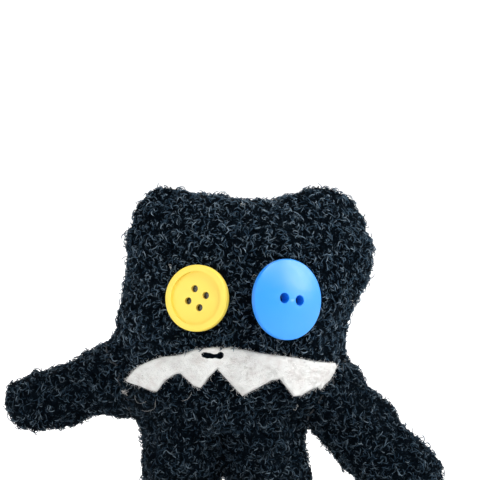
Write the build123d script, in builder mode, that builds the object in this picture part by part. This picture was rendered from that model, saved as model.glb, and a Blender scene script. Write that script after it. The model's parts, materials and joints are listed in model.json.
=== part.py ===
"""Stuffed sock puppet: a creature sewn from one fuzzy sock, with button eyes and a felt mouth.

Millimetres. +Z is up, the face looks along -Y and +X is the puppet's own left.
The origin is the centre of the bounding box's underside, on the plane that the soles stand on.

The head and torso are one sock tube, sewn shut along the top. The cuff is slit and sewn into two leg
tubes, and two arm tubes cut from spare sock are sewn to the slanting shoulders. Every tube is a fabric
cover packed with fibrefill. Each limb's root is a ball or a knuckle about its own pivot, so that it turns
on its seam without running into the torso. The buttons and the felt mouth are held by hot glue.
"""

import os
from math import cos, radians, sin, sqrt

from build123d import *

os.makedirs("parts", exist_ok=True)

# ---------------------------------------------------------------- driving dimensions
MID_X, MID_Y = 2.15, 5.86  # the puppet's own middle, seen from the middle of its bounding box
COVER_WALL = 2.4  # knit backing with its pile pressed flat
FILL_GAP = 0.1  # between a cover's inside and its stuffing
RUN_GAP = 0.35  # between a limb's root and the torso, over the whole travel
THREAD_R = 0.4  # doubled sewing thread

# Head and torso: horizontal oval sections as (height, centre, half width, half depth)
TORSO_SECTIONS = [
    (51.0, -3.5, 29.9, 18.5),
    (62.0, -2.5, 38.0, 22.0),
    (75.0, -1.5, 42.5, 24.5),
    (90.0, 0.9, 42.9, 25.5),
    (105.0, 5.5, 44.1, 23.5),
    (118.0, 6.3, 42.7, 19.0),
    (127.0, 5.7, 39.9, 13.0),
    (133.0, 4.8, 34.8, 7.0),
    (136.3, 4.5, 29.5, 2.5),
]
TORSO_BOTTOM = TORSO_SECTIONS[0][0]
TORSO_TOP = TORSO_SECTIONS[-1][0]
TORSO_BOTTOM_FILLET = 3.0
THIN_TOP_INSET = 1.0  # a form inset by more than this leaves out the thin top section
LEG_OPENING_R = 8.0  # of each hole through which the torso's filling meets a leg's
OPENING_CUT = 10.0  # height of the cylinder that cuts it

# The sewn top edge sags between the two corners
DIP_CENTRE_X = 4.5
DIP_FLOOR_Z = 131.0
DIP_R = 60.0
DIP_LENGTH = 200.0  # of the cylinder that shapes it, right through the head
TOP_STITCHES = 11
TOP_STITCH_PITCH = 5.2
TOP_STITCH_LENGTH = 4.0

# Arms: (pivot x, pivot z, sideways sign, slope of the arm, slope of the shoulder, root radius, hand radius, reach)
# Slopes are degrees below level. The reach runs from the pivot to the fingertips.
RIGHT_ARM = (-46.4, 65.1, -1, 14.9, 23.9, 11.2, 9.4, 34.8)
LEFT_ARM = (38.9, 57.0, 1, 47.5, 33.9, 12.6, 13.2, 45.6)
SHOULDER_SWING = 45.0  # either side of the shoulder's own slope
SHOULDER_SPARE = 0.8  # room for the shoulder stitches under a fully swung arm
SHOULDER_CUT = 90.0  # side of the block that trims the torso to a shoulder's plane
HAND_CORNER = 6.5
ROOT_CUT = 0.62  # where the arm tube is left open, as a share of its root radius
SHOULDER_STITCHES = 12
SHOULDER_STITCH_LENGTH = 2.8
SHOULDER_STITCH_MARGIN = 1.2  # from the edge of the shoulder's hollow
TIP_STITCHES = 6
TIP_STITCH_LENGTH = 2.4
TIP_STITCH_START = 0.5

# Legs: (pivot x, centre of the sole x, radius, side that faces the other leg)
RIGHT_LEG = (-18.3, -18.0, 14.0, 1)
LEFT_LEG = (13.2, 19.2, 14.2, -1)
LEG_FORWARD = 1.5  # of the torso's middle, so that the buttons' weight stays over the soles
LEG_Y = MID_Y - LEG_FORWARD
HIP_GAP = 0.5
SOLE_FILLET = 3.5
SOLE_RECESS_R = 4.2  # where the sole's seam is gathered in
SOLE_RECESS_DEPTH = 1.2
INSEAM_STITCHES = 5
INSEAM_PITCH = 5.0
INSEAM_FIRST_Z = 9.0
INSEAM_STITCH_LENGTH = 3.0

# Buttons, in the standard 36 and 44 ligne sizes
BUTTON_EDGE = 0.6  # rounding of a button's rims
YELLOW_R = 11.4
YELLOW_THICKNESS = 2.8
YELLOW_RECESS_R = 9.2
YELLOW_RECESS_DEPTH = 1.2
YELLOW_HOLES = 4
YELLOW_HOLE_R = 1.25
YELLOW_HOLE_CIRCLE_R = 3.35
YELLOW_HOLE_TURN = 18.3
BLUE_R = 13.8
BLUE_EDGE = 1.9
BLUE_CROWN = 2.6
BLUE_HOLE_R = 1.8
BLUE_HOLE_SPACING = 6.25
BLUE_HOLE_TURN = -10.5
# Each eye: (x, y, z of the button's back face, turn to the puppet's left, turn upwards)
YELLOW_EYE = (-11.3, -25.3, 98.0, -22.0, 8.0)
BLUE_EYE = (18.1, -28.15, 97.9, 33.0, 6.0)
GLUE_LENGTH = 14.0
GLUE_R = 5.5

# Felt mouth, cut flat and glued round the face
FELT_BACK = 0.7  # stands off the cover by this, on the crushed pile
FELT_THICKNESS = 1.6
MOUTH_TOP = [
    (-36.0, 68.3),
    (-33.6, 71.7),
    (-30.2, 74.5),
    (-24.1, 77.3),
    (-17.9, 78.4),
    (-12.2, 80.4),
    (-8.1, 81.1),
    (-2.9, 81.3),
    (1.8, 80.9),
    (10.6, 79.1),
    (20.9, 77.3),
    (27.6, 75.6),
    (34.8, 74.3),
]
MOUTH_TEETH = [
    (34.8, 74.3),
    (35.4, 72.8),
    (34.5, 70.4),
    (33.2, 68.2),
    (31.1, 66.4),
    (30.0, 64.9),
    (28.9, 66.1),
    (26.8, 65.4),
    (23.5, 63.6),
    (20.7, 63.4),
    (19.3, 65.4),
    (16.1, 70.0),
    (13.2, 69.5),
    (8.5, 66.9),
    (3.5, 64.2),
    (1.2, 66.7),
    (-4.9, 73.8),
    (-7.6, 71.0),
    (-10.5, 67.0),
    (-12.8, 67.7),
    (-17.5, 72.1),
    (-19.3, 71.5),
    (-22.5, 69.2),
    (-25.3, 65.1),
    (-27.3, 65.4),
    (-30.9, 66.6),
    (-35.5, 67.7),
    (-36.0, 68.3),
]
MOUTH_GLUE_SPOTS = [(-24.0, 72.4), (-11.0, 75.6), (3.0, 74.8), (15.0, 74.4), (27.0, 72.0)]
MOUTH_GLUE_R = 2.2
FACE_START = 6.0  # in front of the body's middle, and behind all that lies on the face
FACE_PLANE = Plane(origin=(MID_X, MID_Y - FACE_START, 0), x_dir=(1, 0, 0), z_dir=(0, -1, 0))
FACE_REACH = 60.0  # past the front of the body


# ---------------------------------------------------------------- shared forms
def send(piece, name):
    """Labels a finished piece and writes it as one STEP file."""
    piece.part.label = name
    export_step(piece.part, f"parts/{name}.step")


def shoulder(arm):
    """The arm's pivot and hand-ward direction, and the shoulder plane: its origin on the torso, z outward."""
    x, z, side, slope, shoulder_slope, root_r = arm[:6]
    pivot = Vector(x + MID_X, MID_Y, z)
    along = Vector(side * cos(radians(slope)), 0, -sin(radians(slope)))
    out = Vector(side * cos(radians(shoulder_slope)), 0, -sin(radians(shoulder_slope)))
    set_back = root_r * sin(radians(SHOULDER_SWING)) + SHOULDER_SPARE
    return pivot, along, Plane(origin=pivot - out * set_back, x_dir=(0, 1, 0), z_dir=out)


def torso_form(grow):
    """The head and torso as one solid, its surface moved outwards by grow, or inwards where grow is negative."""
    sections = TORSO_SECTIONS if grow > -THIN_TOP_INSET else TORSO_SECTIONS[:-1]
    last = len(sections) - 1
    with BuildPart() as form:
        for i, (z, x, half_width, half_depth) in enumerate(sections):
            height = z - grow if i == 0 else z + (grow if i == last and grow > 0 else 0)
            with BuildSketch(Plane.XY.offset(height)):
                with Locations((x + MID_X, MID_Y)):
                    Ellipse(half_depth + grow, half_width + grow, rotation=90)
        loft()
        fillet(form.edges().group_by(Axis.Z)[0], TORSO_BOTTOM_FILLET)
        with Locations(Pos(DIP_CENTRE_X + MID_X, MID_Y, DIP_FLOOR_Z + DIP_R) * Rot(90, 0, 0)):
            Cylinder(DIP_R - grow, DIP_LENGTH, mode=Mode.SUBTRACT)
        for arm in (RIGHT_ARM, LEFT_ARM):
            with Locations(shoulder(arm)[2].offset(grow).location):
                upright = (Align.CENTER, Align.CENTER, Align.MIN)
                Box(SHOULDER_CUT, SHOULDER_CUT, SHOULDER_CUT, align=upright, mode=Mode.SUBTRACT)
        for arm in (RIGHT_ARM, LEFT_ARM):
            pivot, _, root = shoulder(arm)
            with Locations(Plane(origin=pivot, x_dir=root.z_dir, z_dir=(0, 1, 0)).location):
                Sphere(arm[5] + RUN_GAP - grow, mode=Mode.SUBTRACT)
    return form.part


def arm_form(arm, inset):
    """An arm as a solid of revolution about its own axis: a ball at the pivot, a taper, and a blunt hand."""
    pivot, along, _ = shoulder(arm)
    root_r, hand_r, reach = arm[5] - inset, arm[6] - inset, arm[7] - inset
    corner = HAND_CORNER - inset
    with BuildPart() as form:
        with BuildSketch(Plane(origin=pivot, x_dir=along, z_dir=(0, 1, 0))):
            with BuildLine():
                ThreePointArc((-root_r, 0), (-root_r * sqrt(0.5), root_r * sqrt(0.5)), (0, root_r))
                Line((0, root_r), (reach - corner, hand_r))
                TangentArc((reach - corner, hand_r), (reach, hand_r - corner), tangent=(1, 0))
                Polyline((reach, hand_r - corner), (reach, 0), (-root_r, 0))
            make_face()
        revolve(axis=Axis(pivot, along))
    return form.part


def hip_height(leg):
    """The height of a leg's hip axis, which puts the top of its knuckle just under the torso."""
    return TORSO_BOTTOM - HIP_GAP - leg[2]


def leg_form(leg, inset):
    """A leg as a solid: a half ball at the hip, on a round tube that leans to the foot."""
    hip_x, sole_x, radius = leg[0] + MID_X, leg[1] + MID_X, leg[2] - inset
    with BuildPart() as form:
        for x, height in ((hip_x, hip_height(leg)), (sole_x, inset)):
            with BuildSketch(Plane.XY.offset(height)):
                with Locations((x, LEG_Y)):
                    Circle(radius)
        loft(ruled=True)
        fillet(form.edges().group_by(Axis.Z)[0], SOLE_FILLET - inset)
        with Locations((hip_x, LEG_Y, hip_height(leg))):
            upright = (Align.CENTER, Align.CENTER, Align.MIN)
            Sphere(radius, arc_size1=0, rotation=(0, 0, 90), align=upright)
    return form.part


def eye_plane(eye):
    """The plane of a button's back face, z towards the viewer that the button looks at."""
    x, y, z, turn, lift = eye
    turn, lift = radians(turn), radians(lift)
    facing = (sin(turn) * cos(lift), -cos(turn) * cos(lift), sin(lift))
    return Plane(origin=(x + MID_X, y + MID_Y, z), x_dir=(cos(turn), sin(turn), 0), z_dir=facing)


def top_edge_height(x):
    """The height of the sewn top edge at a place along it."""
    return min(DIP_FLOOR_Z + DIP_R - sqrt(DIP_R**2 - (x - DIP_CENTRE_X) ** 2), TORSO_TOP)


# ---------------------------------------------------------------- head and torso
with BuildPart() as head_torso_cover:
    add(torso_form(0))
    add(torso_form(-COVER_WALL), mode=Mode.SUBTRACT)
    with Locations(*[(leg[0] + MID_X, LEG_Y, TORSO_BOTTOM) for leg in (RIGHT_LEG, LEFT_LEG)]):
        Cylinder(LEG_OPENING_R, OPENING_CUT, mode=Mode.SUBTRACT)
send(head_torso_cover, "head_torso_cover")

with BuildPart() as head_torso_stuffing:
    add(torso_form(-COVER_WALL - FILL_GAP))
send(head_torso_stuffing, "head_torso_stuffing")

with BuildPart() as head_top_stitches:
    for i in range(TOP_STITCHES):
        stitch_x = DIP_CENTRE_X + (i - (TOP_STITCHES - 1) / 2) * TOP_STITCH_PITCH
        with Locations((stitch_x + MID_X, MID_Y, top_edge_height(stitch_x))):
            Cylinder(THREAD_R, TOP_STITCH_LENGTH, rotation=(90, 0, 0))
send(head_top_stitches, "head_top_stitches")

for arm, name in ((RIGHT_ARM, "right_shoulder_stitches"), (LEFT_ARM, "left_shoulder_stitches")):
    pivot, _, root = shoulder(arm)
    hollow_r = sqrt((arm[5] + RUN_GAP) ** 2 - (root.origin - pivot).length ** 2)
    with BuildPart() as shoulder_stitches:
        with Locations(root.location):
            with PolarLocations(hollow_r + SHOULDER_STITCH_MARGIN, SHOULDER_STITCHES):
                Cylinder(THREAD_R, SHOULDER_STITCH_LENGTH, rotation=(90, 0, 0))
    send(shoulder_stitches, name)

# ---------------------------------------------------------------- eyes
with BuildPart() as yellow_button:
    with BuildSketch(eye_plane(YELLOW_EYE)):
        Circle(YELLOW_R)
    extrude(amount=YELLOW_THICKNESS)
    yellow_rims = yellow_button.edges()
    fillet(yellow_rims, BUTTON_EDGE)
    with BuildSketch(eye_plane(YELLOW_EYE).offset(YELLOW_THICKNESS)):
        Circle(YELLOW_RECESS_R)
    extrude(amount=-YELLOW_RECESS_DEPTH, mode=Mode.SUBTRACT)
    with BuildSketch(eye_plane(YELLOW_EYE)):
        with PolarLocations(YELLOW_HOLE_CIRCLE_R, YELLOW_HOLES, start_angle=YELLOW_HOLE_TURN):
            Circle(YELLOW_HOLE_R)
    extrude(amount=YELLOW_THICKNESS, mode=Mode.SUBTRACT)
send(yellow_button, "yellow_button")

with BuildPart() as blue_button:
    dome_r = (BLUE_R**2 + BLUE_CROWN**2) / (2 * BLUE_CROWN)
    with BuildSketch(eye_plane(BLUE_EYE)):
        Circle(BLUE_R)
    extrude(amount=BLUE_EDGE + BLUE_CROWN)
    with Locations(eye_plane(BLUE_EYE).offset(BLUE_EDGE + BLUE_CROWN - dome_r).location):
        Sphere(dome_r, mode=Mode.INTERSECT)
    fillet(blue_button.edges().filter_by(GeomType.CIRCLE), BUTTON_EDGE)
    with BuildSketch(eye_plane(BLUE_EYE)):
        with PolarLocations(BLUE_HOLE_SPACING / 2, 2, start_angle=BLUE_HOLE_TURN):
            Circle(BLUE_HOLE_R)
    extrude(amount=BLUE_EDGE + 2 * BLUE_CROWN, mode=Mode.SUBTRACT)
send(blue_button, "blue_button")

for eye, name in ((YELLOW_EYE, "yellow_button_glue"), (BLUE_EYE, "blue_button_glue")):
    with BuildPart() as button_glue:
        with BuildSketch(eye_plane(eye)):
            Circle(GLUE_R)
        extrude(amount=-GLUE_LENGTH)
        add(torso_form(0), mode=Mode.SUBTRACT)
    send(button_glue, name)

# ---------------------------------------------------------------- mouth
with BuildPart() as felt_mouth:
    with BuildSketch(FACE_PLANE):
        with BuildLine():
            Spline(*MOUTH_TOP)
            Polyline(*MOUTH_TEETH)
        make_face()
    extrude(amount=FACE_REACH)
    add(torso_form(FELT_BACK + FELT_THICKNESS), mode=Mode.INTERSECT)
    add(torso_form(FELT_BACK), mode=Mode.SUBTRACT)
send(felt_mouth, "felt_mouth")

with BuildPart() as mouth_glue:
    with BuildSketch(FACE_PLANE):
        with Locations(*MOUTH_GLUE_SPOTS):
            Circle(MOUTH_GLUE_R)
    extrude(amount=FACE_REACH)
    add(torso_form(FELT_BACK), mode=Mode.INTERSECT)
    add(torso_form(0), mode=Mode.SUBTRACT)
send(mouth_glue, "mouth_glue")

# ---------------------------------------------------------------- arms
for arm, side_name in ((RIGHT_ARM, "right"), (LEFT_ARM, "left")):
    pivot, along, _ = shoulder(arm)
    root_mouth = Plane(origin=pivot - along * (ROOT_CUT * arm[5]), x_dir=(0, 1, 0), z_dir=along)

    with BuildPart() as arm_cover:
        add(arm_form(arm, 0))
        add(arm_form(arm, COVER_WALL), mode=Mode.SUBTRACT)
        split(bisect_by=root_mouth, keep=Keep.TOP)
    send(arm_cover, f"{side_name}_arm_cover")

    with BuildPart() as arm_stuffing:
        add(arm_form(arm, COVER_WALL + FILL_GAP))
    send(arm_stuffing, f"{side_name}_arm_stuffing")

    with BuildPart() as hand_stitches:
        with Locations(Plane(origin=pivot + along * arm[7], x_dir=(0, 1, 0), z_dir=along).location):
            with PolarLocations(TIP_STITCH_START + TIP_STITCH_LENGTH / 2, TIP_STITCHES):
                Cylinder(THREAD_R, TIP_STITCH_LENGTH, rotation=(0, 90, 0))
    send(hand_stitches, f"{side_name}_hand_stitches")

# ---------------------------------------------------------------- legs
for leg, side_name in ((RIGHT_LEG, "right"), (LEFT_LEG, "left")):
    hip_x, sole_x, leg_r, inner_side = leg
    hip_z = hip_height(leg)

    with BuildPart() as leg_cover:
        add(leg_form(leg, 0))
        add(leg_form(leg, COVER_WALL), mode=Mode.SUBTRACT)
        with Locations((hip_x + MID_X, LEG_Y, hip_z + leg_r)):
            Cylinder(LEG_OPENING_R, OPENING_CUT, mode=Mode.SUBTRACT)
        with Locations((sole_x + MID_X, LEG_Y, 0)):
            Cylinder(SOLE_RECESS_R, 2 * SOLE_RECESS_DEPTH, mode=Mode.SUBTRACT)
    send(leg_cover, f"{side_name}_leg_cover")

    with BuildPart() as leg_stuffing:
        add(leg_form(leg, COVER_WALL + FILL_GAP))
    send(leg_stuffing, f"{side_name}_leg_stuffing")

    with BuildPart() as inseam_stitches:
        for i in range(INSEAM_STITCHES):
            stitch_z = INSEAM_FIRST_Z + i * INSEAM_PITCH
            centre_x = sole_x + (hip_x - sole_x) * stitch_z / hip_z
            with Locations((centre_x + inner_side * leg_r + MID_X, LEG_Y, stitch_z)):
                Cylinder(THREAD_R, INSEAM_STITCH_LENGTH, rotation=(90, 0, 0))
    send(inseam_stitches, f"{side_name}_leg_inseam_stitches")

    with BuildPart() as foot_stitches:
        with Locations((sole_x + MID_X, LEG_Y, SOLE_RECESS_DEPTH)):
            with PolarLocations(TIP_STITCH_START + TIP_STITCH_LENGTH / 2, TIP_STITCHES):
                Cylinder(THREAD_R, TIP_STITCH_LENGTH, rotation=(0, 90, 0))
    send(foot_stitches, f"{side_name}_foot_stitches")
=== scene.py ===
"""Looks of the stuffed sock puppet: fuzzy black fabric, a felt mouth and button eyes, around its CAD frame.

Metres, in the frame that the CAD nodes stand in. One skin of fabric is made from the covers and their
stuffing and cut into one piece for each body. Curls of yarn are grown on it. The stitches and the felt
are rebuilt as pieces of their own, and the buttons and the glue are the CAD nodes with new materials.
"""

import json
from math import cos, pi, radians, sin

import bmesh
import bpy
import numpy as np
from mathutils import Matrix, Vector, geometry, kdtree, noise
from mathutils.bvhtree import BVHTree
from numpy.polynomial.polynomial import polyfit, polyval


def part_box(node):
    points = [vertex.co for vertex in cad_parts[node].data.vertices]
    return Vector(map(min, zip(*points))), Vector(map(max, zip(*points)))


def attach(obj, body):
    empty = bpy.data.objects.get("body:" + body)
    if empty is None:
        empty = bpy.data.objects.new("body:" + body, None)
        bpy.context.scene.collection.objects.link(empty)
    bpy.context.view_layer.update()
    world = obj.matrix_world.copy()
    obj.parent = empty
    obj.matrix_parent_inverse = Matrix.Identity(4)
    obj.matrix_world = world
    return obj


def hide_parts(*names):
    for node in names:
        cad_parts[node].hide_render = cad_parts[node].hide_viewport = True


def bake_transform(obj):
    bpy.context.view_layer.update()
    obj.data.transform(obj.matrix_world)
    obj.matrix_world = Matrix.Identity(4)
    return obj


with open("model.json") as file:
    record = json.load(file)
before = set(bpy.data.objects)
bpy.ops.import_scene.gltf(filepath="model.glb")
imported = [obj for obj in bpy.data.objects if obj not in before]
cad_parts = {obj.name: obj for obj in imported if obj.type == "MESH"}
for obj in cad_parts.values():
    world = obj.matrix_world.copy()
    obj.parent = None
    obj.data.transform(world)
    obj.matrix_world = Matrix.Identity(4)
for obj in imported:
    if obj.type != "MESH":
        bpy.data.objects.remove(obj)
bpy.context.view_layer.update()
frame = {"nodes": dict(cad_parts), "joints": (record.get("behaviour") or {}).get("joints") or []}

MM = 0.001
noise.seed_set(36)  # noise_vector's offsets come from the clock otherwise
scene = bpy.context.scene
LIMBS = ("right_arm", "left_arm", "right_leg", "left_leg")
pivots = {j["child"]: np.array(j["pos_m"]) for j in frame["joints"]}
MIDDLE_Y = pivots["right_arm"][1]


# ---------------------------------------------------------------- camera, lights and stage
VIEW_DISTANCE = 0.72
VIEW_LIFT = radians(4.0)
VIEW_LENS = 153.0
VIEW_TARGET = Vector((4.95 * MM, MIDDLE_Y, 116.2 * MM))
CHEST = Vector((0, 0, 0.09))  # what the lights aim at
FLOOR_RADIUS, FLOOR_BEND, FLOOR_WALL = 1.5, 0.5, 0.9


def make_camera():
    data = bpy.data.cameras.new("camera")
    data.lens = VIEW_LENS
    data.sensor_width = 36.0
    camera = bpy.data.objects.new("camera", data)
    scene.collection.objects.link(camera)
    camera.location = VIEW_TARGET + VIEW_DISTANCE * Vector((0, -cos(VIEW_LIFT), sin(VIEW_LIFT)))
    camera.rotation_euler = (VIEW_TARGET - camera.location).to_track_quat("-Z", "Y").to_euler()
    scene.camera = camera


def area_light(name, place, size, power, aim=CHEST):
    data = bpy.data.lights.new(name, "AREA")
    data.shape = "DISK"
    data.size = size
    data.energy = power
    light = bpy.data.objects.new(name, data)
    scene.collection.objects.link(light)
    light.location = place
    light.rotation_euler = (aim - light.location).to_track_quat("-Z", "Y").to_euler()


def make_lights():
    area_light("key_light", Vector((0.45, -0.5, 0.9)), 0.4, 4.9)
    area_light("fill_light", Vector((-0.8, -0.7, 0.45)), 0.8, 2.2)
    area_light("side_light", Vector((0.93, -0.12, 0.50)), 0.62, 6.0)
    area_light("back_light", Vector((-0.2, 0.8, 0.8)), 0.6, 5.0)
    area_light("backdrop_light", Vector((0.0, 0.35, 1.1)), 0.8, 6.0, aim=Vector((0, 1.5, 0.45)))
    world = bpy.data.worlds.new("studio")
    world.use_nodes = True
    world.node_tree.nodes["Background"].inputs["Color"].default_value = (0.96, 0.98, 1.0, 1)
    world.node_tree.nodes["Background"].inputs["Strength"].default_value = 0.28
    scene.world = world
    scene.view_settings.view_transform = "Standard"


def make_floor():
    """A round pale floor that curves up into a low wall, the same from every side."""
    level = FLOOR_RADIUS - FLOOR_BEND
    profile = [(0.3, 0.0), (0.8, 0.0), (level, 0.0)]
    curve = np.linspace(0.15, pi / 2, 10)
    profile += [(level + FLOOR_BEND * sin(a), FLOOR_BEND - FLOOR_BEND * cos(a)) for a in curve]
    profile += [(FLOOR_RADIUS, FLOOR_BEND + FLOOR_WALL)]
    steps = 96
    verts = [(r * cos(t), r * sin(t), z) for r, z in profile for t in np.arange(steps) * 2 * pi / steps]
    verts.append((0, 0, 0))
    faces = []
    for ring in range(len(profile) - 1):
        for s in range(steps):
            a, b = ring * steps + s, ring * steps + (s + 1) % steps
            faces.append((a, b, b + steps, a + steps))
    faces += [(len(verts) - 1, (s + 1) % steps, s) for s in range(steps)]
    floor = make_object("floor", verts, faces, smooth=True)
    floor.data.materials.append(new_material("pale_floor", (0.93, 0.93, 0.93), 0.8)[0])


# ---------------------------------------------------------------- small helpers
def make_object(name, verts, faces, smooth=False):
    mesh = bpy.data.meshes.new(name)
    mesh.from_pydata([tuple(v) for v in verts], [], [tuple(f) for f in faces])
    mesh.update()
    if smooth:
        mesh.polygons.foreach_set("use_smooth", [True] * len(mesh.polygons))
    thing = bpy.data.objects.new(name, mesh)
    scene.collection.objects.link(thing)
    return thing


def coordinates(mesh):
    co = np.empty(len(mesh.vertices) * 3)
    mesh.vertices.foreach_get("co", co)
    return co.reshape(-1, 3)


def set_coordinates(mesh, co):
    mesh.vertices.foreach_set("co", np.asarray(co, np.float32).ravel())
    mesh.update()


def unit(v):
    return v / np.maximum(np.linalg.norm(v, axis=-1, keepdims=True), 1e-12)


def vertex_normals(mesh):
    normals = np.empty(len(mesh.vertices) * 3)
    mesh.vertices.foreach_get("normal", normals)
    return normals.reshape(-1, 3)


def apply_modifiers(thing):
    """Bakes an object's modifiers, at the current frame, into a mesh of its own."""
    depsgraph = bpy.context.evaluated_depsgraph_get()
    mesh = bpy.data.meshes.new_from_object(thing.evaluated_get(depsgraph))
    thing.modifiers.clear()
    thing.data = mesh


def new_material(name, colour, roughness):
    material = bpy.data.materials.new(name)
    material.use_nodes = True
    nodes, links = material.node_tree.nodes, material.node_tree.links
    shader = nodes["Principled BSDF"]
    shader.inputs["Base Color"].default_value = (*colour, 1)
    shader.inputs["Roughness"].default_value = roughness
    return material, nodes, links, shader


def add_noise(nodes, links, scale, detail):
    texture = nodes.new("ShaderNodeTexNoise")
    texture.inputs["Scale"].default_value = scale
    texture.inputs["Detail"].default_value = detail
    links.new(nodes.new("ShaderNodeTexCoord").outputs["Object"], texture.inputs["Vector"])
    return texture.outputs["Fac"]


def add_ramp(nodes, links, factor, stops):
    ramp = nodes.new("ShaderNodeValToRGB")
    while len(ramp.color_ramp.elements) < len(stops):
        ramp.color_ramp.elements.new(0.5)
    for element, (place, colour) in zip(ramp.color_ramp.elements, stops):
        element.position = place
        element.color = (*colour, 1)
    links.new(factor, ramp.inputs["Fac"])
    return ramp.outputs["Color"]


def grey_ramp(nodes, links, factor, stops):
    return add_ramp(nodes, links, factor, [(place, (grey,) * 3) for place, grey in stops])


def add_bump(nodes, links, shader, height, strength, distance):
    bump = nodes.new("ShaderNodeBump")
    bump.inputs["Strength"].default_value = strength
    bump.inputs["Distance"].default_value = distance
    links.new(height, bump.inputs["Height"])
    links.new(bump.outputs["Normal"], shader.inputs["Normal"])


# ---------------------------------------------------------------- materials
def fabric_material():
    """The knit backing, which shows only between the curls of its pile: the knit's own black, made darker
    than the yarn as painted shade between the curls.
    """
    material, nodes, links, shader = new_material("sock_backing", (0.006, 0.009, 0.013), 0.9)
    mottle = add_noise(nodes, links, 900.0, 3.0)
    # near black: partly the knit's own black, partly painted shade in the gaps between curls
    colour = add_ramp(nodes, links, mottle, [(0.35, (0.000, 0.001, 0.002)), (0.7, (0.002, 0.004, 0.007))])
    links.new(colour, shader.inputs["Base Color"])
    shader.inputs["Specular IOR Level"].default_value = 0.02
    add_bump(nodes, links, shader, mottle, 0.8, 0.0006)
    return material


def pile_material(name, strength):
    """Curled black yarn, different in tone and sheen from curl to curl. Painted shade: its along attribute
    darkens the colour and dulls the gloss towards each curl's root, deep in the pile, and carries the
    painted shade of the locks' edges and of the chest.
    """
    material, nodes, links, shader = new_material(name, (0.012, 0.018, 0.026), 0.42)
    island = nodes.new("ShaderNodeNewGeometry").outputs["Random Per Island"]
    tones = [
        (0.0, (0.020, 0.044, 0.074)),
        (0.4, (0.060, 0.102, 0.148)),
        (0.75, (0.118, 0.175, 0.230)),
        (1.0, (0.27, 0.35, 0.42)),
    ]
    tones = [(place, tuple(strength * channel for channel in colour)) for place, colour in tones]
    tint = add_ramp(nodes, links, island, tones)
    along = nodes.new("ShaderNodeAttribute")
    along.attribute_name = "along"
    # painted shade: darker towards the root of each curl, deep in the pile, and wherever along was lowered
    painted_shade = grey_ramp(nodes, links, along.outputs["Fac"], [(0.08, 0.09), (0.68, 1.0)])
    mix = nodes.new("ShaderNodeMix")
    mix.data_type = "RGBA"
    mix.blend_type = "MULTIPLY"
    mix.inputs["Factor"].default_value = 1.0
    links.new(tint, mix.inputs["A"])
    links.new(painted_shade, mix.inputs["B"])
    links.new(mix.outputs["Result"], shader.inputs["Base Color"])
    gloss = nodes.new("ShaderNodeMath")
    gloss.operation = "MULTIPLY"
    # painted shade also takes the gloss away towards the root
    links.new(grey_ramp(nodes, links, along.outputs["Fac"], [(0.25, 0.0), (0.9, 1.0)]), gloss.inputs[0])
    links.new(grey_ramp(nodes, links, island, [(0.5, 0.05), (0.75, 0.2), (1.0, 0.8)]), gloss.inputs[1])
    links.new(gloss.outputs["Value"], shader.inputs["Specular IOR Level"])
    shader.inputs["Specular Tint"].default_value = (0.5, 0.78, 1.0, 1)
    fibres = add_noise(nodes, links, 6000.0, 1.0)
    add_bump(nodes, links, shader, fibres, 0.5, 0.0001)
    return material


def felt_material():
    """Matted white fibres: cloudy in tone, with a fine tangled surface."""
    material, nodes, links, shader = new_material("white_felt", (0.80, 0.80, 0.77), 0.95)
    clouds = add_noise(nodes, links, 260.0, 5.0)
    tones = [(0.3, (0.73, 0.70, 0.68)), (0.52, (0.82, 0.82, 0.80)), (0.75, (0.88, 0.88, 0.86))]
    tone = add_ramp(nodes, links, clouds, tones)
    links.new(tone, shader.inputs["Base Color"])
    shader.inputs["Specular IOR Level"].default_value = 0.1
    tangle = add_noise(nodes, links, 2600.0, 6.0)
    add_bump(nodes, links, shader, tangle, 1.0, 0.0005)
    return material


def button_material(name, colour, deep, roughness, gloss):
    """Moulded plastic: slightly cloudy colour under a worn satin surface."""
    material, nodes, links, shader = new_material(name, colour, roughness)
    clouds = add_noise(nodes, links, 55.0, 3.0)
    links.new(add_ramp(nodes, links, clouds, [(0.3, deep), (0.6, colour)]), shader.inputs["Base Color"])
    wear = add_noise(nodes, links, 420.0, 6.0)
    rough = grey_ramp(nodes, links, wear, [(0.3, roughness - 0.05), (0.75, roughness + 0.08)])
    links.new(rough, shader.inputs["Roughness"])
    shader.inputs["Specular IOR Level"].default_value = gloss
    add_bump(nodes, links, shader, wear, 0.12, 0.0001)
    return material


def glue_material():
    """Hot glue: cloudy, a little translucent, with soft ripples."""
    material, nodes, links, shader = new_material("hot_glue", (0.72, 0.68, 0.58), 0.22)
    ripples = add_noise(nodes, links, 500.0, 2.0)
    tone = add_ramp(nodes, links, ripples, [(0.3, (0.62, 0.57, 0.46)), (0.7, (0.78, 0.75, 0.66))])
    links.new(tone, shader.inputs["Base Color"])
    shader.inputs["Transmission Weight"].default_value = 0.96
    add_bump(nodes, links, shader, ripples, 0.5, 0.0004)
    return material


def thread_material():
    """Black sewing thread with the fine ribs of its twist."""
    material, nodes, links, shader = new_material("black_thread", (0.012, 0.014, 0.018), 0.45)
    ribs = nodes.new("ShaderNodeTexWave")
    ribs.inputs["Scale"].default_value = 1800.0
    ribs.inputs["Distortion"].default_value = 1.5
    links.new(nodes.new("ShaderNodeTexCoord").outputs["Object"], ribs.inputs["Vector"])
    tones = [(0.2, (0.004, 0.005, 0.007)), (0.8, (0.030, 0.034, 0.040))]
    tone = add_ramp(nodes, links, ribs.outputs["Fac"], tones)
    links.new(tone, shader.inputs["Base Color"])
    add_bump(nodes, links, shader, ribs.outputs["Fac"], 0.4, 0.0001)
    return material


def dress(node, material):
    """Gives a CAD node its material, on every face."""
    mesh = frame["nodes"][node].data
    mesh.materials.clear()
    mesh.materials.append(material)
    mesh.polygons.foreach_set("material_index", [0] * len(mesh.polygons))


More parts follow.
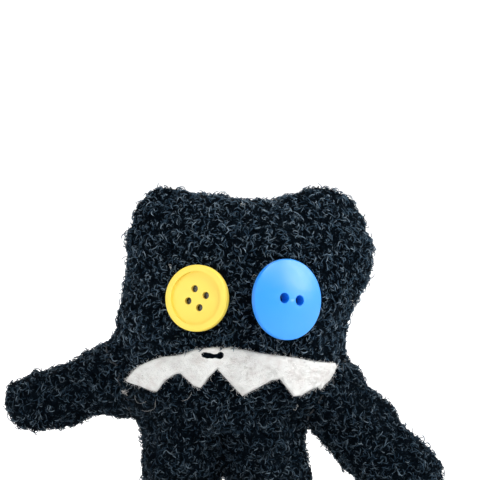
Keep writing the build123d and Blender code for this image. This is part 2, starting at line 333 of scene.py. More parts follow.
make_camera()
make_lights()
make_floor()
BACKING = fabric_material()
# Two copies of one pile material: the limbs' copy is darker, 0.62 against 1.04, as painted shade for the
# less light that reaches them
HEAD_PILE = pile_material("sock_pile", 1.04)
SHADED_LIMB_PILE = pile_material("sock_pile_limbs_shaded", 0.62)
FELT = felt_material()
THREAD = thread_material()
YELLOW = button_material("yellow_plastic", (0.98, 0.74, 0.115), (0.96, 0.70, 0.095), 0.34, 0.35)
BLUE = button_material("blue_plastic", (0.002, 0.27, 0.92), (0.001, 0.25, 0.88), 0.36, 0.8)
GLUE = glue_material()
for node, material in (
    ("yellow_button", YELLOW),
    ("blue_button", BLUE),
    ("yellow_button_glue", GLUE),
    ("blue_button_glue", GLUE),
    ("mouth_glue", GLUE),
):
    dress(node, material)


# ---------------------------------------------------------------- the fabric's skin
PARTS = ("head_torso",) + LIMBS
# How far the skin lies inside the outline that the pile's tips reach
INSETS = dict(zip(PARTS, np.array([1.3, 0.1, 0.1, 0.5, 0.0]) * MM))
HEAD_SIDE_FILL = 1.2 * MM  # how much fuller the head is at its sides than in front
SKIN_VOXEL = 1.7 * MM
INNER_SIDE = (0, 0, 1, -1)  # which way along x each leg faces the other
INNER_FILL = np.array([0.0, 0.0, 1.1, 0.5]) * MM  # how much fuller it is there
FLOOR_CLEARANCE = 0.3 * MM
ROOT_BLEND = 6 * MM  # over which the torso's inset changes to a limb's
CREASE_WIDTH = 9 * MM  # of the softened crease between two covers
SEAM_WIDTH = 2.5 * MM  # that the simulation holds still
TOP_SEAM_WIDTH = 2.0 * MM
TOP_SEAM_DEPTH = 9 * MM  # below the head's top
CLOTH_SCALE = 10.0  # the solver is steadier on a larger copy
CLOTH_FRAMES = 20
CLOTH_CAP = 2.2 * MM
LEAST_PIN = 0.05
LUMPS = ((15 * MM, 1.5 * MM), (5.5 * MM, 1.3 * MM))  # sizes and heights


def mesh_tree(mesh):
    return BVHTree.FromPolygons([v.co for v in mesh.vertices], [p.vertices for p in mesh.polygons])


def distances(tree, co):
    return np.array([tree.find_nearest(Vector(p))[3] for p in co])


def joined_copy(names, extra):
    """One mesh of copies of the CAD nodes' meshes and of some extra closed forms."""
    whole = bmesh.new()
    for name in names:
        whole.from_mesh(frame["nodes"][name].data)
    for verts, faces in extra:
        made = [whole.verts.new(v) for v in verts]
        for face in faces:
            whole.faces.new([made[i] for i in face])
    mesh = bpy.data.meshes.new("skin")
    whole.to_mesh(mesh)
    whole.free()
    return mesh


def plug(start, end, start_radius, end_radius, steps=40):
    """A closed tapered tube between two places in millimetres, for a hollow where a limb meets the torso."""
    start, end = np.array(start), np.array(end)
    axis = unit(end - start)
    side = unit(np.cross(axis, (0.0, 1.0, 0.0)))
    other = np.cross(axis, side)
    around = np.arange(steps) * 2 * pi / steps
    verts = [
        (centre + radius * (cos(a) * side + sin(a) * other)) * MM
        for centre, radius in ((start, start_radius), (end, end_radius))
        for a in around
    ]
    faces = [(s, (s + 1) % steps, (s + 1) % steps + steps, s + steps) for s in range(steps)]
    faces += [tuple(reversed(range(steps))), tuple(range(steps, 2 * steps))]
    return verts, faces


LEG_Y = pivots["right_leg"][1] / MM
ARM_Y = MIDDLE_Y / MM
PLUGS = (
    plug((-16.2, LEG_Y, 32.5), (-16.8, LEG_Y, 58.0), 14.2, 15.6),  # right hip
    plug((15.4, LEG_Y, 32.5), (12.0, LEG_Y, 58.0), 14.2, 15.0),  # left hip
    plug((-46.0, ARM_Y, 64.9), (-31.0, ARM_Y, 61.5), 11.2, 11.0),  # right armpit
    plug((-30.0, ARM_Y, 76.0), (-44.0, ARM_Y, 66.0), 13.4, 11.2),  # right shoulder
    plug((30.0, ARM_Y, 67.0), (44.0, ARM_Y, 58.5), 13.2, 12.4),  # left shoulder
)


def remeshed(mesh, voxel):
    """A new object whose surface is a mesh's outside, rebuilt in small even quads."""
    thing = bpy.data.objects.new("skin", mesh)
    scene.collection.objects.link(thing)
    modifier = thing.modifiers.new("remesh", "REMESH")
    modifier.mode = "VOXEL"
    modifier.voxel_size = voxel
    bpy.context.view_layer.update()
    apply_modifiers(thing)
    return thing


def relax(mesh, weights, rounds):
    """Moves each vertex towards the middle of its neighbours, by its weight, a number of times."""
    edges = np.empty(len(mesh.edges) * 2, np.int64)
    mesh.edges.foreach_get("vertices", edges)
    edges = edges.reshape(-1, 2)
    co = coordinates(mesh)
    count = np.bincount(edges.ravel(), minlength=len(co))[:, None]
    for _ in range(rounds):
        total = np.zeros_like(co)
        np.add.at(total, edges[:, 0], co[edges[:, 1]])
        np.add.at(total, edges[:, 1], co[edges[:, 0]])
        co += weights[:, None] * (total / count - co)
    set_coordinates(mesh, co)


def inflate(thing, pinned, cap):
    """Fills the skin by a short cloth simulation, held at its seams, and caps how far it moves."""
    before = coordinates(thing.data)
    set_coordinates(thing.data, before * CLOTH_SCALE)
    group = thing.vertex_groups.new(name="seams")
    for i in np.flatnonzero(pinned > LEAST_PIN):
        group.add([int(i)], float(pinned[i]), "REPLACE")
    cloth = thing.modifiers.new("cloth", "CLOTH")
    cloth.settings.quality = 6
    cloth.settings.mass = 0.02
    cloth.settings.tension_stiffness = 12
    cloth.settings.compression_stiffness = 12
    cloth.settings.shear_stiffness = 6
    cloth.settings.bending_stiffness = 0.4
    cloth.settings.use_pressure = True
    cloth.settings.uniform_pressure_force = 4
    cloth.settings.effector_weights.gravity = 0
    cloth.settings.vertex_group_mass = "seams"
    cloth.collision_settings.use_collision = False
    cloth.point_cache.frame_start = 1
    cloth.point_cache.frame_end = CLOTH_FRAMES
    for step in range(1, CLOTH_FRAMES + 1):
        scene.frame_set(step)
    apply_modifiers(thing)
    thing.vertex_groups.clear()
    move = coordinates(thing.data) / CLOTH_SCALE - before
    length = np.linalg.norm(move, axis=1)
    move *= np.minimum(1, cap / np.maximum(length, 1e-9))[:, None]
    set_coordinates(thing.data, before + move)
    scene.frame_set(1)


def lumps(mesh, size, height, seed):
    """Moves the surface in and out in soft lumps of that size and height."""
    co = coordinates(mesh)
    offset = Vector((seed * 3.7, seed * 1.3, seed * 5.1))
    push = np.array([noise.noise(Vector(p) / size + offset) for p in co])
    set_coordinates(mesh, co + vertex_normals(mesh) * (push * height)[:, None])


def make_skin():
    """The whole fabric surface: covers and stuffing remeshed as one, inset, softened, filled and lumpy."""
    nodes = [f"{part}_cover" for part in PARTS] + [f"{part}_stuffing" for part in PARTS]
    thing = remeshed(joined_copy(nodes, PLUGS), SKIN_VOXEL)
    mesh = thing.data
    co = coordinates(mesh)
    torso_gap = distances(cad_trees["head_torso"], co)
    gaps = np.array([distances(cad_trees[limb], co) for limb in LIMBS])
    limb_gap = gaps.min(axis=0)
    limb_share = np.clip((torso_gap - limb_gap) / ROOT_BLEND + 0.5, 0, 1)
    nearest = gaps.argmin(axis=0)
    sideways = vertex_normals(mesh)[:, 0]
    inward = np.clip(sideways * np.array(INNER_SIDE)[nearest], 0, 1)
    limb_inset = np.array([INSETS[limb] for limb in LIMBS])[nearest] - INNER_FILL[nearest] * inward**2
    torso_inset = INSETS["head_torso"] - HEAD_SIDE_FILL * sideways**2
    inset = torso_inset + limb_share * (limb_inset - torso_inset)
    set_coordinates(mesh, co - vertex_normals(mesh) * inset[:, None])
    relax(mesh, np.full(len(co), 0.5), 2)
    from_seam = np.maximum(torso_gap, limb_gap)
    relax(mesh, 0.6 * np.clip(1.3 - from_seam / CREASE_WIDTH, 0, 1), 14)
    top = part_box("head_torso_cover")[1].z
    seam = np.exp(-((from_seam / SEAM_WIDTH) ** 2))
    top_seam = np.exp(-(((co[:, 1] - MIDDLE_Y) / TOP_SEAM_WIDTH) ** 2))
    top_seam = top_seam * (co[:, 2] > top - TOP_SEAM_DEPTH)
    inflate(thing, np.clip(seam + top_seam, 0, 1), CLOTH_CAP)
    divide = thing.modifiers.new("divide", "SUBSURF")
    divide.levels = divide.render_levels = 1
    bpy.context.view_layer.update()
    apply_modifiers(thing)
    for number, (size, height) in enumerate(LUMPS):
        lumps(thing.data, size, height, number + 1)
    co = coordinates(thing.data)
    co[:, 2] = np.maximum(co[:, 2], FLOOR_CLEARANCE)
    set_coordinates(thing.data, co)
    thing.data.materials.clear()
    thing.data.materials.append(BACKING)
    thing.data.polygons.foreach_set("use_smooth", [True] * len(thing.data.polygons))
    return thing


def split_skin(whole):
    """Cuts the skin at its seams into one closed piece for each body.

    Gives {part: (object, open mesh that the pile grows on, places of the cut's rim)}.
    """
    mesh = whole.data
    centres = np.array([p.center for p in mesh.polygons])
    gaps = np.array([distances(cad_trees[part], centres) for part in PARTS])
    owner = np.argmin(gaps, axis=0)
    pieces = {}
    for number, part in enumerate(PARTS):
        piece = bmesh.new()
        piece.from_mesh(mesh)
        piece.faces.ensure_lookup_table()
        spare = [face for face, mine in zip(piece.faces, owner == number) if not mine]
        bmesh.ops.delete(piece, geom=spare, context="FACES")
        bare = bpy.data.meshes.new(part)
        piece.to_mesh(bare)
        rim = [edge for edge in piece.edges if edge.is_boundary]
        rim_co = np.array([v.co for edge in rim for v in edge.verts])
        bmesh.ops.holes_fill(piece, edges=rim, sides=0)
        bmesh.ops.triangulate(piece, faces=[f for f in piece.faces if len(f.verts) > 4])
        closed = bpy.data.meshes.new(f"{part}_fabric")
        piece.to_mesh(closed)
        closed.materials.append(BACKING)
        piece.free()
        thing = bpy.data.objects.new(f"{part}_fabric", closed)
        scene.collection.objects.link(thing)
        pieces[part] = (thing, bare, rim_co)
    bpy.data.objects.remove(whole)
    return pieces


cad_trees = {part: mesh_tree(frame["nodes"][f"{part}_cover"].data) for part in PARTS}


# ---------------------------------------------------------------- where the limbs would bend; their pieces are only baked in place
BEND_MARGIN = 0.3 * MM
BEND_LENGTH = 13 * MM


def outward(limb):
    """The direction in which a limb leaves the torso."""
    if limb.endswith("leg"):
        return np.array([0.0, 0.0, -1.0])
    low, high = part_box(f"{limb}_shoulder_stitches".replace("_arm", ""))
    away = pivots[limb] - np.array((low + high) / 2)
    away[1] = 0.0
    return away / np.linalg.norm(away)


def bend_zone(limb, rim_co):
    """Where the fabric would stop following the torso and start to follow the limb; the limb pieces are not
    bent.
    """
    direction, pivot = outward(limb), pivots[limb]
    seam = ((rim_co - pivot) @ direction).max() + BEND_MARGIN
    return pivot + direction * seam, pivot + direction * (seam + BEND_LENGTH)


def bend(thing, zone):
    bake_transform(thing)


# ---------------------------------------------------------------- the pile
CURL_SPACING = 0.66 * MM
CURL_RINGS = 6
CURL_LENGTH = 3.3 * MM
CURL_RADIUS = 0.20 * MM
CURL_ROOT = 0.35 * MM  # how deep in the skin a curl starts
DRIFT_SIZE = 3.2 * MM  # of the patches in which the curls lean the same way
LOCK_SPACING = 2.5 * MM
CURL_CLEARANCE = 2.6 * MM  # in front of a curl that has room to stand
MOST_CURLS = 5600  # in one piece, so that it stays under 200 000 triangles
CHEST_SHADE_HEIGHTS = (58 * MM, 86 * MM)  # between these heights the pile's colour and gloss are painted darker towards the chest, as shade under the head and mouth
CHEST_PAINTED_SHADE = (0.6, 1.0)


def spread_points(mesh, spacing, seed):
    """Points on a mesh no nearer to each other than spacing, with their normals."""
    draw = np.random.default_rng(seed)
    mesh.calc_loop_triangles()
    triangles = np.array([t.vertices for t in mesh.loop_triangles])
    co, normals = coordinates(mesh), vertex_normals(mesh)
    a, b, c = co[triangles[:, 0]], co[triangles[:, 1]], co[triangles[:, 2]]
    area = np.linalg.norm(np.cross(b - a, c - a), axis=1) / 2
    count = int(area.sum() / spacing**2 * 4)
    chosen = np.sort(draw.choice(len(area), count, p=area / area.sum()))
    draw.shuffle(chosen)
    u, v = draw.random(count), draw.random(count)
    flip = u + v > 1
    u[flip], v[flip] = 1 - u[flip], 1 - v[flip]
    weights = np.stack([1 - u - v, u, v], axis=1)[:, :, None]
    places = (co[triangles[chosen]] * weights).sum(1)
    facing = (normals[triangles[chosen]] * weights).sum(1)
    cells = {}
    kept = []
    keys = np.floor(places / spacing).astype(int)
    for i, (x, y, z) in enumerate(keys):
        near = [
            j
            for dx in (-1, 0, 1)
            for dy in (-1, 0, 1)
            for dz in (-1, 0, 1)
            for j in cells.get((x + dx, y + dy, z + dz), ())
        ]
        if near and (((places[near] - places[i]) ** 2).sum(1) < spacing**2).any():
            continue
        cells.setdefault((x, y, z), []).append(i)
        kept.append(i)
    facing = facing[kept]
    return places[kept], facing / np.linalg.norm(facing, axis=1)[:, None]


def strands(path, radius, sides=3):
    """Closed tubes along paths (strand, point, xyz), each ending in a point.

    Gives (vertices, triangles, how far along its strand each vertex lies, from 0 to 1).
    """
    count, points = path.shape[:2]
    along = unit(np.gradient(path, axis=1))
    side = unit(np.cross(along, unit(along[:, :1] + np.array([0.31, 0.17, 0.93]))))
    other = np.cross(along, side)
    rings = points - 1
    around = np.arange(sides) * 2 * pi / sides
    tubes = [path + radius[:, :, None] * (cos(angle) * side + sin(angle) * other) for angle in around]
    tubes = np.stack(tubes, axis=2)[:, :rings].reshape(count, rings * sides, 3)
    every = np.concatenate([tubes, path[:, -1:]], axis=1)
    stride = rings * sides + 1
    pattern = [(0, k + 1, k) for k in range(1, sides - 1)]
    for r in range(rings - 1):
        for k in range(sides):
            a, b = r * sides + k, r * sides + (k + 1) % sides
            pattern += [(a, b, b + sides), (a, b + sides, a + sides)]
    last = (rings - 1) * sides
    pattern += [(last + k, last + (k + 1) % sides, stride - 1) for k in range(sides)]
    triangles = (np.array(pattern)[None] + (np.arange(count) * stride)[:, None, None]).reshape(-1, 3)
    share = np.concatenate([np.repeat(np.arange(rings) / rings, sides), [1.0]])
    return every.reshape(-1, 3), triangles, np.tile(share, count)


def triangle_object(name, verts, triangles, along=None):
    mesh = bpy.data.meshes.new(name)
    mesh.vertices.add(len(verts))
    mesh.vertices.foreach_set("co", verts.astype(np.float32).ravel())
    mesh.loops.add(triangles.size)
    mesh.loops.foreach_set("vertex_index", triangles.ravel().astype(np.int32))
    mesh.polygons.add(len(triangles))
    mesh.polygons.foreach_set("loop_start", np.arange(len(triangles), dtype=np.int32) * 3)
    mesh.polygons.foreach_set("use_smooth", [True] * len(triangles))
    if along is not None:
        mesh.attributes.new("along", "FLOAT", "POINT").data.foreach_set("value", along.astype(np.float32))
    mesh.update(calc_edges=True)
    mesh.validate()
    thing = bpy.data.objects.new(name, mesh)
    scene.collection.objects.link(thing)
    return thing


def curl_paths(places, normals, locks, draw):
    """Curls that rise from the skin, bow over and come back down.

    The curls of one lock lean to its middle and twist together. Gives (paths, radii, tones), the tone being
    painted shade: lower for a curl at the edge of its lock, in the gaps between locks.
    """
    count = len(places)
    lock_places, lock_turns, lock_heights, tree = locks
    nearest = np.array([tree.find(Vector(p))[1] for p in places])
    pull = lock_places[nearest] - places
    pull -= normals * (pull * normals).sum(1)[:, None]
    spread = np.linalg.norm(pull, axis=1) / (LOCK_SPACING * 0.6)
    twist = np.cross(normals, unit(pull)) * lock_turns[nearest][:, None]
    drift = np.array([noise.noise_vector(Vector(p) / DRIFT_SIZE) for p in places])
    u = unit(pull) * np.minimum(spread, 1.2)[:, None] * 0.9 + twist * 0.8 + drift * 0.9
    u += draw.normal(size=(count, 3)) * 0.45
    u = unit(u - normals * (u * normals).sum(1)[:, None])
    v = np.cross(normals, u)
    s = np.linspace(0, 1, CURL_RINGS + 1)
    length = np.clip(draw.normal(1.0, 0.18, count), 0.5, 1.6) * CURL_LENGTH
    length *= lock_heights[nearest] * np.clip(1.12 - 0.45 * spread**2, 0.45, 1.2)
    rise = radians(1) * draw.uniform(45, 90, count)
    turn = radians(1) * draw.uniform(110, 240, count)
    wave = draw.uniform(0, 2 * pi, count)
    swing = draw.uniform(0.2, 0.75, count)
    angle = rise[:, None] - turn[:, None] * s[None]
    sway = swing[:, None] * np.sin(2 * pi * 0.9 * s[None] + wave[:, None])
    heading = np.cos(angle)[:, :, None] * u[:, None] + np.sin(angle)[:, :, None] * normals[:, None]
    heading = unit(heading + sway[:, :, None] * v[:, None])
    steps = heading[:, :-1] * (length / CURL_RINGS)[:, None, None]
    path = np.concatenate([np.zeros((count, 1, 3)), np.cumsum(steps, axis=1)], axis=1)
    path += (places - normals * CURL_ROOT)[:, None]
    thick = np.clip(draw.normal(1.0, 0.18, count), 0.6, 1.5) * CURL_RADIUS
    radius = thick[:, None] * (1 - 0.55 * s[None] ** 2)
    path[:, :, 2] = np.maximum(path[:, :, 2], radius)
    # painted shade: curls at a lock's edge are darkened, as if in the gap between locks
    tone = np.clip(1.1 - 0.5 * spread**2, 0.35, 1.0)
    return path, radius, tone


def make_locks(bare, seed):
    """The locks into which the pile clumps, as (middles, ways of twisting, heights, tree of the middles)."""
    places, _ = spread_points(bare, LOCK_SPACING, seed)
    draw = np.random.default_rng(seed)
    tree = kdtree.KDTree(len(places))
    for i, place in enumerate(places):
        tree.insert(Vector(place), i)
    tree.balance()
    return places, draw.choice([-1.0, 1.0], len(places)), draw.uniform(0.72, 1.2, len(places)), tree


def grow_pile(part, bare, seed):
    """The curls on one part of the skin, in as many pieces as their triangles need."""
    places, normals = spread_points(bare, CURL_SPACING, seed)
    shown = ~covered(places)
    places, normals = places[shown], normals[shown]
    locks = make_locks(bare, seed + 50)
    draw = np.random.default_rng(seed + 100)
    order = np.lexsort((places[:, 2], places[:, 1] > MIDDLE_Y))
    pieces = int(np.ceil(len(order) / MOST_CURLS))
    made = []
    for number, chosen in enumerate(np.array_split(order, pieces)):
        path, radius, tone = curl_paths(places[chosen], normals[chosen], locks, draw)
        verts, triangles, along = strands(path, radius)
        # painted shade: the chest's curls get a lower tone, darker and less glossy towards the chest
        if part == "head_torso":
            tone = tone * np.interp(places[chosen, 2], CHEST_SHADE_HEIGHTS, CHEST_PAINTED_SHADE)
        # the tone's painted shade goes into along, which darkens the pile's colour and gloss
        along *= np.repeat(tone, len(along) // len(tone))
        name = f"{part}_pile" if pieces == 1 else f"{part}_pile_{number + 1}"
        thing = triangle_object(name, verts, triangles, along)
        thing.data.materials.append(HEAD_PILE if part == "head_torso" else SHADED_LIMB_PILE)
        made.append(thing)
    return made


# ---------------------------------------------------------------- mouth outline, in millimetres
MOUTH_TOP = [
    (-36.0, 68.3),
    (-33.6, 71.7),
    (-30.2, 74.5),
    (-24.1, 77.3),
    (-17.9, 78.4),
    (-12.2, 80.4),
    (-8.1, 81.1),
    (-2.9, 81.3),
    (1.8, 80.9),
    (10.6, 79.1),
    (20.9, 77.3),
    (27.6, 75.6),
    (34.8, 74.3),
]
MOUTH_TEETH = [
    (34.8, 74.3),
    (35.4, 72.8),
    (34.5, 70.4),
    (33.2, 68.2),
    (31.1, 66.4),
    (30.0, 64.9),
    (28.9, 66.1),
    (26.8, 65.4),
    (23.5, 63.6),
    (20.7, 63.4),
    (19.3, 65.4),
    (16.1, 70.0),
    (13.2, 69.5),
    (8.5, 66.9),
    (3.5, 64.2),
    (1.2, 66.7),
    (-4.9, 73.8),
    (-7.6, 71.0),
    (-10.5, 67.0),
    (-12.8, 67.7),
    (-17.5, 72.1),
    (-19.3, 71.5),
    (-22.5, 69.2),
    (-25.3, 65.1),
    (-27.3, 65.4),
    (-30.9, 66.6),
    (-35.5, 67.7),
    (-36.0, 68.3),
]
TOP_STEPS = 24  # from one point of the smooth top edge to the next
TEETH_STEP = 0.4  # between the points along the teeth
FACE_SHIFT = 2.15 * MM  # from the face's own middle to the frame's
UNDER_FELT = 0.97  # how much of the felt's outline has no pile under it


def smooth_line(points, steps):
    """A Catmull-Rom curve through points."""
    p = np.array(points, float)
    p = np.vstack([2 * p[0] - p[1], p, 2 * p[-1] - p[-2]])
    t = np.linspace(0, 1, steps, endpoint=False)[:, None]
    out = []
    for a, b, c, d in zip(p, p[1:], p[2:], p[3:]):
        bow = (2 * a - 5 * b + 4 * c - d) * t**2 + (3 * b - a - 3 * c + d) * t**3
        out.append(0.5 * (2 * b + (c - a) * t + bow))
    return np.vstack(out)


def mouth_outline():
    """The felt's cut edge as (x, z) in metres, top edge first, then back along the teeth."""
    top = smooth_line(MOUTH_TOP, TOP_STEPS)
    teeth = np.array(MOUTH_TEETH)
    edge = []
    for a, b in zip(teeth, teeth[1:]):
        steps = max(2, int(np.linalg.norm(b - a) / TEETH_STEP))
        edge.append(a + (b - a) * np.linspace(0, 1, steps, endpoint=False)[:, None])
    line = np.vstack([top, *edge]) * MM
    return line + np.array([FACE_SHIFT, 0])


def inside(outline, x, z):
    """Whether each point lies within a closed outline."""
    hit = np.zeros(len(x), bool)
    ax, az = outline[:, 0], outline[:, 1]
    bx, bz = np.roll(ax, -1), np.roll(az, -1)
    for i in range(len(ax)):
        crosses = (az[i] > z) != (bz[i] > z)
        with np.errstate(divide="ignore", invalid="ignore"):
            where = ax[i] + (z - az[i]) * (bx[i] - ax[i]) / (bz[i] - az[i])
        hit ^= crosses & (x < where)
    return hit


OUTLINE = mouth_outline()


def covered(places):
    """Whether each place on the skin is under the felt, or too close behind a button for a curl."""
    middle = OUTLINE.mean(0)
    shrunk = middle + (OUTLINE - middle) * UNDER_FELT
    hidden = inside(shrunk, places[:, 0], places[:, 2]) & (places[:, 1] < MIDDLE_Y)
    for node in ("yellow_button", "blue_button"):
        button = mesh_tree(frame["nodes"][node].data)
        hits = [button.ray_cast(Vector(p), Vector((0, -1, 0)), CURL_CLEARANCE)[0] for p in places]
        hidden |= np.array([hit is not None for hit in hits])
    return hidden


# ---------------------------------------------------------------- the felt mouth
FELT_STEP = 0.55 * MM
FACE_FIBRES = 1300
EDGE_FIBRES = 800
EDGE_SCATTER = 0.15 * MM  # of the fibres' roots about the cut edge
FIBRE_ARCH = 0.07 * MM
FELT_STANDOFF = 1.4 * MM  # of its middle from the pressed cover, on the crushed pile
FELT_HALF = 0.65 * MM
FELT_ROUND = 0.32 * MM  # how far in from the cut the edge is softened
FELT_WAVE, FELT_WAVE_SIZE = 0.35 * MM, 9 * MM
FELT_FUZZ, FELT_FUZZ_SIZE = 0.09 * MM, 0.9 * MM
# The head's horizontal oval sections at the mouth, in millimetres: height, centre, half width, half depth
FACE_SECTIONS = np.array(
    [
        (51.0, -3.5, 29.9, 18.5),
        (62.0, -2.5, 38.0, 22.0),
        (75.0, -1.5, 42.5, 24.5),
        (90.0, 0.9, 42.9, 25.5),
        (105.0, 5.5, 44.1, 23.5),
    ]
)
FACE_CURVES = polyfit(FACE_SECTIONS[:, 0], FACE_SECTIONS[:, 1:], 4)  # smooth through the sections
FACE_EDGE = 0.97  # as far round the side of the oval as the felt may reach


def edge_distance(points):
    """How far each (x, z) point lies from the felt's cut edge."""
    a, b = OUTLINE, np.roll(OUTLINE, -1, axis=0)
    run = b - a
    length = np.maximum((run**2).sum(1), 1e-12)
    out = []
    for p in points:
        t = np.clip(((p - a) * run).sum(1) / length, 0, 1)
        out.append(np.sqrt(((a + run * t[:, None] - p) ** 2).sum(1)).min())
    return np.array(out)


def on_face(points, lift):
    """Puts flat (x, z) points on the oval of the face, lift metres in front of it."""
    x, z = points[:, 0] / MM, points[:, 1] / MM
    centre, half_width, half_depth = polyval(z, FACE_CURVES)
    across = np.clip((x - FACE_SHIFT / MM - centre) / half_width, -FACE_EDGE, FACE_EDGE)
    forward = np.sqrt(1 - across**2)
    places = np.stack([x, MIDDLE_Y / MM - half_depth * forward, z], axis=1) * MM
    normals = unit(np.stack([across / half_width, -forward / half_depth, np.zeros(len(x))], axis=1))
    return places + normals * lift[:, None]


def felt_sheet():
    """The mouth, cut from one sheet with its edge softened at the cut. Gives (object, flat area)."""
    low, high = OUTLINE.min(0), OUTLINE.max(0)
    rows = np.arange(low[1], high[1], FELT_STEP * 0.87)
    columns = np.arange(low[0], high[0], FELT_STEP)
    grid = np.array([(x + (i % 2) * FELT_STEP / 2, z) for i, z in enumerate(rows) for x in columns])
    grid = grid[inside(OUTLINE, grid[:, 0], grid[:, 1])]
    grid = grid[edge_distance(grid) > FELT_STEP * 0.5]
    flat = [Vector(p) for p in np.vstack([OUTLINE, grid])]
    edges = [(i, (i + 1) % len(OUTLINE)) for i in range(len(OUTLINE))]
    points, _, faces = geometry.delaunay_2d_cdt(flat, edges, [], 1, 1e-7)[:3]
    points = np.array([tuple(p) for p in points])
    faces = [face for face in faces if len(face) == 3]
    depth = np.clip(edge_distance(points) / FELT_ROUND, 0, 1)
    half = FELT_HALF * np.sqrt(1 - (1 - depth) ** 2)
    wave = FELT_WAVE * np.array([noise.noise(Vector((x, 0, z)) / FELT_WAVE_SIZE) for x, z in points])
    fuzz = np.array([noise.noise(Vector((x, 0.3, z)) / FELT_FUZZ_SIZE) for x, z in points])
    fuzz = FELT_FUZZ * depth * fuzz
    front = on_face(points, FELT_STANDOFF + wave + half + fuzz)
    back = on_face(points, FELT_STANDOFF + wave - half)
    rim = depth < 1e-4
    number = len(points)
    partner = np.where(rim, np.arange(number), np.arange(number) + number)
    verts = np.vstack([front, back])
    up = np.cross(front[faces[0][1]] - front[faces[0][0]], front[faces[0][2]] - front[faces[0][0]])[1] > 0
    front_faces = [face[::-1] if up else face for face in faces]
    back_faces = [[int(partner[i]) for i in face[::-1]] for face in front_faces]
    used = np.unique(np.concatenate([np.ravel(front_faces), np.ravel(back_faces)]))
    renumber = np.full(len(verts), -1)
    renumber[used] = np.arange(len(used))
    triangles = renumber[np.vstack([front_faces, back_faces])]
    thing = triangle_object("felt_mouth_sheet", verts[used], triangles)
    thing.data.materials.append(FELT)
    corners = on_face(points, np.full(number, FELT_STANDOFF))[np.array(faces)]
    twice = np.cross(corners[:, 1] - corners[:, 0], corners[:, 2] - corners[:, 0])
    return thing, float(np.linalg.norm(twice, axis=1).sum() / 2)


def felt_length():
    """How long the felt is, measured round the face."""
    low, high = OUTLINE.min(0), OUTLINE.max(0)
    x = np.linspace(low[0], high[0], 60)
    middle = np.stack([x, np.full_like(x, (low[1] + high[1]) / 2)], axis=1)
    line = on_face(middle, np.full_like(x, FELT_STANDOFF))
    return float(np.linalg.norm(np.diff(line, axis=0), axis=1).sum())


def felt_fibres():
    """Loose fibres: some matted on the felt's face, some sticking out of its cut edge."""
    draw = np.random.default_rng(71)
    low, high = OUTLINE.min(0), OUTLINE.max(0)
    loose = draw.uniform(low, high, (5200, 2))
    loose = loose[inside(OUTLINE, loose[:, 0], loose[:, 1])][:FACE_FIBRES]
    at_edge = OUTLINE[draw.integers(0, len(OUTLINE), EDGE_FIBRES)]
    at_edge = at_edge + draw.normal(0, EDGE_SCATTER, (EDGE_FIBRES, 2))
    start = np.vstack([loose, at_edge])
    count, points = len(start), 8
    s = np.linspace(0, 1, points)
    heading = draw.uniform(0, 2 * pi, count)[:, None] + draw.normal(0, 1.6, count)[:, None] * s[None]
    heading += 0.7 * np.sin(2 * pi * s[None] + draw.uniform(0, 2 * pi, count)[:, None])
    length = draw.uniform(0.9, 2.6, count) * MM
    length[len(loose) :] *= 0.42
    step = (length / points)[:, None, None] * np.stack([np.cos(heading), np.sin(heading)], axis=2)
    flat = start[:, None] + np.cumsum(step, axis=1)
    lift = FELT_STANDOFF + FELT_HALF + draw.uniform(-0.05, 0.10, count)[:, None] * MM
    lift = lift + FIBRE_ARCH * np.sin(pi * s[None])
    drop = draw.uniform(-1.0, 0.1, EDGE_FIBRES)[:, None] * FELT_HALF
    lift[len(loose) :] += drop
    path = on_face(flat.reshape(-1, 2), lift.ravel()).reshape(count, points, 3)
    radius = np.repeat(draw.uniform(0.022, 0.042, count)[:, None] * MM, points, axis=1)
    verts, triangles, _ = strands(path, radius)
    thing = triangle_object("felt_mouth_fibres", verts, triangles)
    thing.data.materials.append(FELT)
    return thing


def make_mouth():
    sheet, flat_area = felt_sheet()
    fibres = felt_fibres()
    for thing in (sheet, fibres):
        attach(thing, "torso")
    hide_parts("felt_mouth")
    felt_length()


# ---------------------------------------------------------------- stitches
STITCHES = {
    "head_torso": ("head_top_stitches", "right_shoulder_stitches", "left_shoulder_stitches"),
    "right_arm": ("right_hand_stitches",),
    "left_arm": ("left_hand_stitches",),
    "right_leg": ("right_leg_inseam_stitches", "right_foot_stitches"),
    "left_leg": ("left_leg_inseam_stitches", "left_foot_stitches"),
}
PLY_RADIUS = 0.17 * MM
PLY_TURNS = 2.5
STITCH_ARCH = 0.9 * MM  # half of it stands above the skin, and half is below at the ends


def loose_parts(mesh):
    """The coordinates of each separate part of a mesh."""
    whole = bmesh.new()
    whole.from_mesh(mesh)
    whole.verts.ensure_lookup_table()
    seen, parts = set(), []
    for vert in whole.verts:
        if vert.index in seen:
            continue
        stack, part = [vert], []
        seen.add(vert.index)
        while stack:
            here = stack.pop()
            part.append(here.co.copy())
            for edge in here.link_edges:
                other = edge.other_vert(here)
                if other.index not in seen:
                    seen.add(other.index)
                    stack.append(other)
        parts.append(np.array(part))
    whole.free()
    return parts


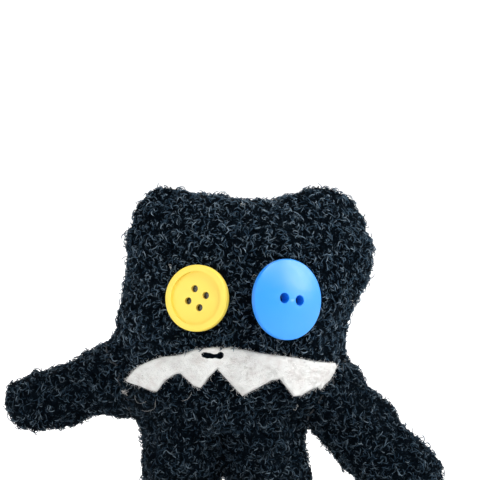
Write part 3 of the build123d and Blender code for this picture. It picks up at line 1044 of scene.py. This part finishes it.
def laid_stitches(node):
    """A node's straight stitches as twisted thread that lies on the skin and dives into it at both ends."""
    plies = []
    s = np.linspace(0, 1, 15)
    for part in loose_parts(frame["nodes"][node].data):
        centre = (part.max(0) + part.min(0)) / 2
        spread = np.linalg.svd(part - centre, full_matrices=False)[2][0]
        reach = np.abs((part - centre) @ spread).max()
        line = centre + (s[:, None] * 2 - 1) * spread * reach
        laid, facing = [], []
        for p in line:
            hit, normal, _, _ = skin_tree.find_nearest(Vector(p))
            laid.append(hit)
            facing.append(normal)
        laid, facing = np.array(laid), unit(np.mean(facing, axis=0))
        arch = STITCH_ARCH * np.sqrt(np.sin(pi * s)) - STITCH_ARCH / 2
        middle = laid + facing * arch[:, None]
        across = unit(np.cross(spread, facing))
        for phase in (0, pi):
            turn = 2 * pi * PLY_TURNS * s + phase
            twist = np.cos(turn)[:, None] * across + np.sin(turn)[:, None] * facing
            plies.append(middle + twist * PLY_RADIUS * 0.85)
    path = np.array(plies)
    path[:, :, 2] = np.maximum(path[:, :, 2], PLY_RADIUS)
    verts, triangles, _ = strands(path, np.full(path.shape[:2], PLY_RADIUS), sides=6)
    thing = triangle_object(f"{node}_thread", verts, triangles)
    thing.data.materials.append(THREAD)
    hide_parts(node)
    return thing


# ---------------------------------------------------------------- lint
LINT_SCATTER = 0.22 * MM
TUFT_FIBRES = 14
# Places and runs of the fibres on the front, as (x, z) in millimetres
TUFT = (-34.3, 64.7)
LINT_PLACES = [(5.7, 128.5), (-17.8, 107.0), (10.2, 105.5), (42.7, 95.9), (4.3, 80.9), (24.0, 60.2)]
LOOSE_FIBRES = [
    ((-28.4, 58.8), (-23.2, 63.4)),
    ((-14.6, 62.6), (-11.4, 65.4)),
    ((-11.4, 78.8), (-9.2, 81.6)),
    ((-23.4, 74.6), (-20.6, 77.4)),
    ((-30.6, 63.6), (-26.6, 62.2)),
]


def over_pile(flat, lift):
    """Puts flat (x, z) points in front of the skin, lift metres out from it."""
    path = []
    for (x, z), forward in zip(flat, lift):
        hit, normal = skin_tree.ray_cast(Vector((x, -0.2, z)), Vector((0, 1, 0)))[:2]
        if hit is None:
            hit, normal = skin_tree.find_nearest(Vector((x, MIDDLE_Y, z)))[:2]
        path.append(hit + normal * forward)
    return np.array(path)


def lint():
    """Pale fibres caught in the pile: specks, longer ones near the mouth, and a tuft at its right tip."""
    draw = np.random.default_rng(5)
    points = 9
    s = np.linspace(0, 1, points)
    starts = np.array([place for place in LINT_PLACES for _ in range(2)] + [TUFT] * TUFT_FIBRES) * MM
    starts = starts + draw.normal(0, LINT_SCATTER, starts.shape)
    count = len(starts)
    heading = draw.uniform(0, 2 * pi, count)[:, None] + draw.normal(0, 2.2, count)[:, None] * s[None]
    step = (draw.uniform(0.6, 1.5, count) * MM / points)[:, None, None]
    flat = starts[:, None] + np.cumsum(step * np.stack([np.cos(heading), np.sin(heading)], 2), axis=1)
    ends = np.array(LOOSE_FIBRES) * MM
    run = ends[:, 1] - ends[:, 0]
    bow = np.stack([-run[:, 1], run[:, 0]], 1) * draw.uniform(-0.25, 0.25, (len(ends), 1))
    share = s[None, :, None]
    long_ones = ends[:, None, 0] + run[:, None] * share + bow[:, None] * np.sin(pi * share)
    flat = np.vstack([flat, long_ones])
    lift = (1.7 + 1.1 * np.sin(pi * s)) * MM
    path = over_pile(flat.reshape(-1, 2), np.tile(lift, len(flat))).reshape(len(flat), points, 3)
    thick = np.concatenate([np.full(count, 0.05), np.full(len(ends), 0.04)]) * MM
    verts, triangles, _ = strands(path, np.repeat(thick[:, None], points, axis=1))
    thing = triangle_object("lint", verts, triangles)
    thing.data.materials.append(FELT)
    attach(thing, "torso")


# ---------------------------------------------------------------- put together
whole_skin = make_skin()
skin_tree = mesh_tree(whole_skin.data)
skin_pieces = split_skin(whole_skin)
for number, part in enumerate(PARTS):
    fabric, bare, rim_co = skin_pieces[part]
    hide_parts(f"{part}_cover", f"{part}_stuffing")
    pieces = [fabric, *grow_pile(part, bare, 11 + number)]
    pieces += [laid_stitches(node) for node in STITCHES[part]]
    for thing in pieces:
        if part == "head_torso":
            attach(thing, "torso")
        else:
            bend(thing, bend_zone(part, rim_co))
make_mouth()
lint()

bpy.context.view_layer.update()
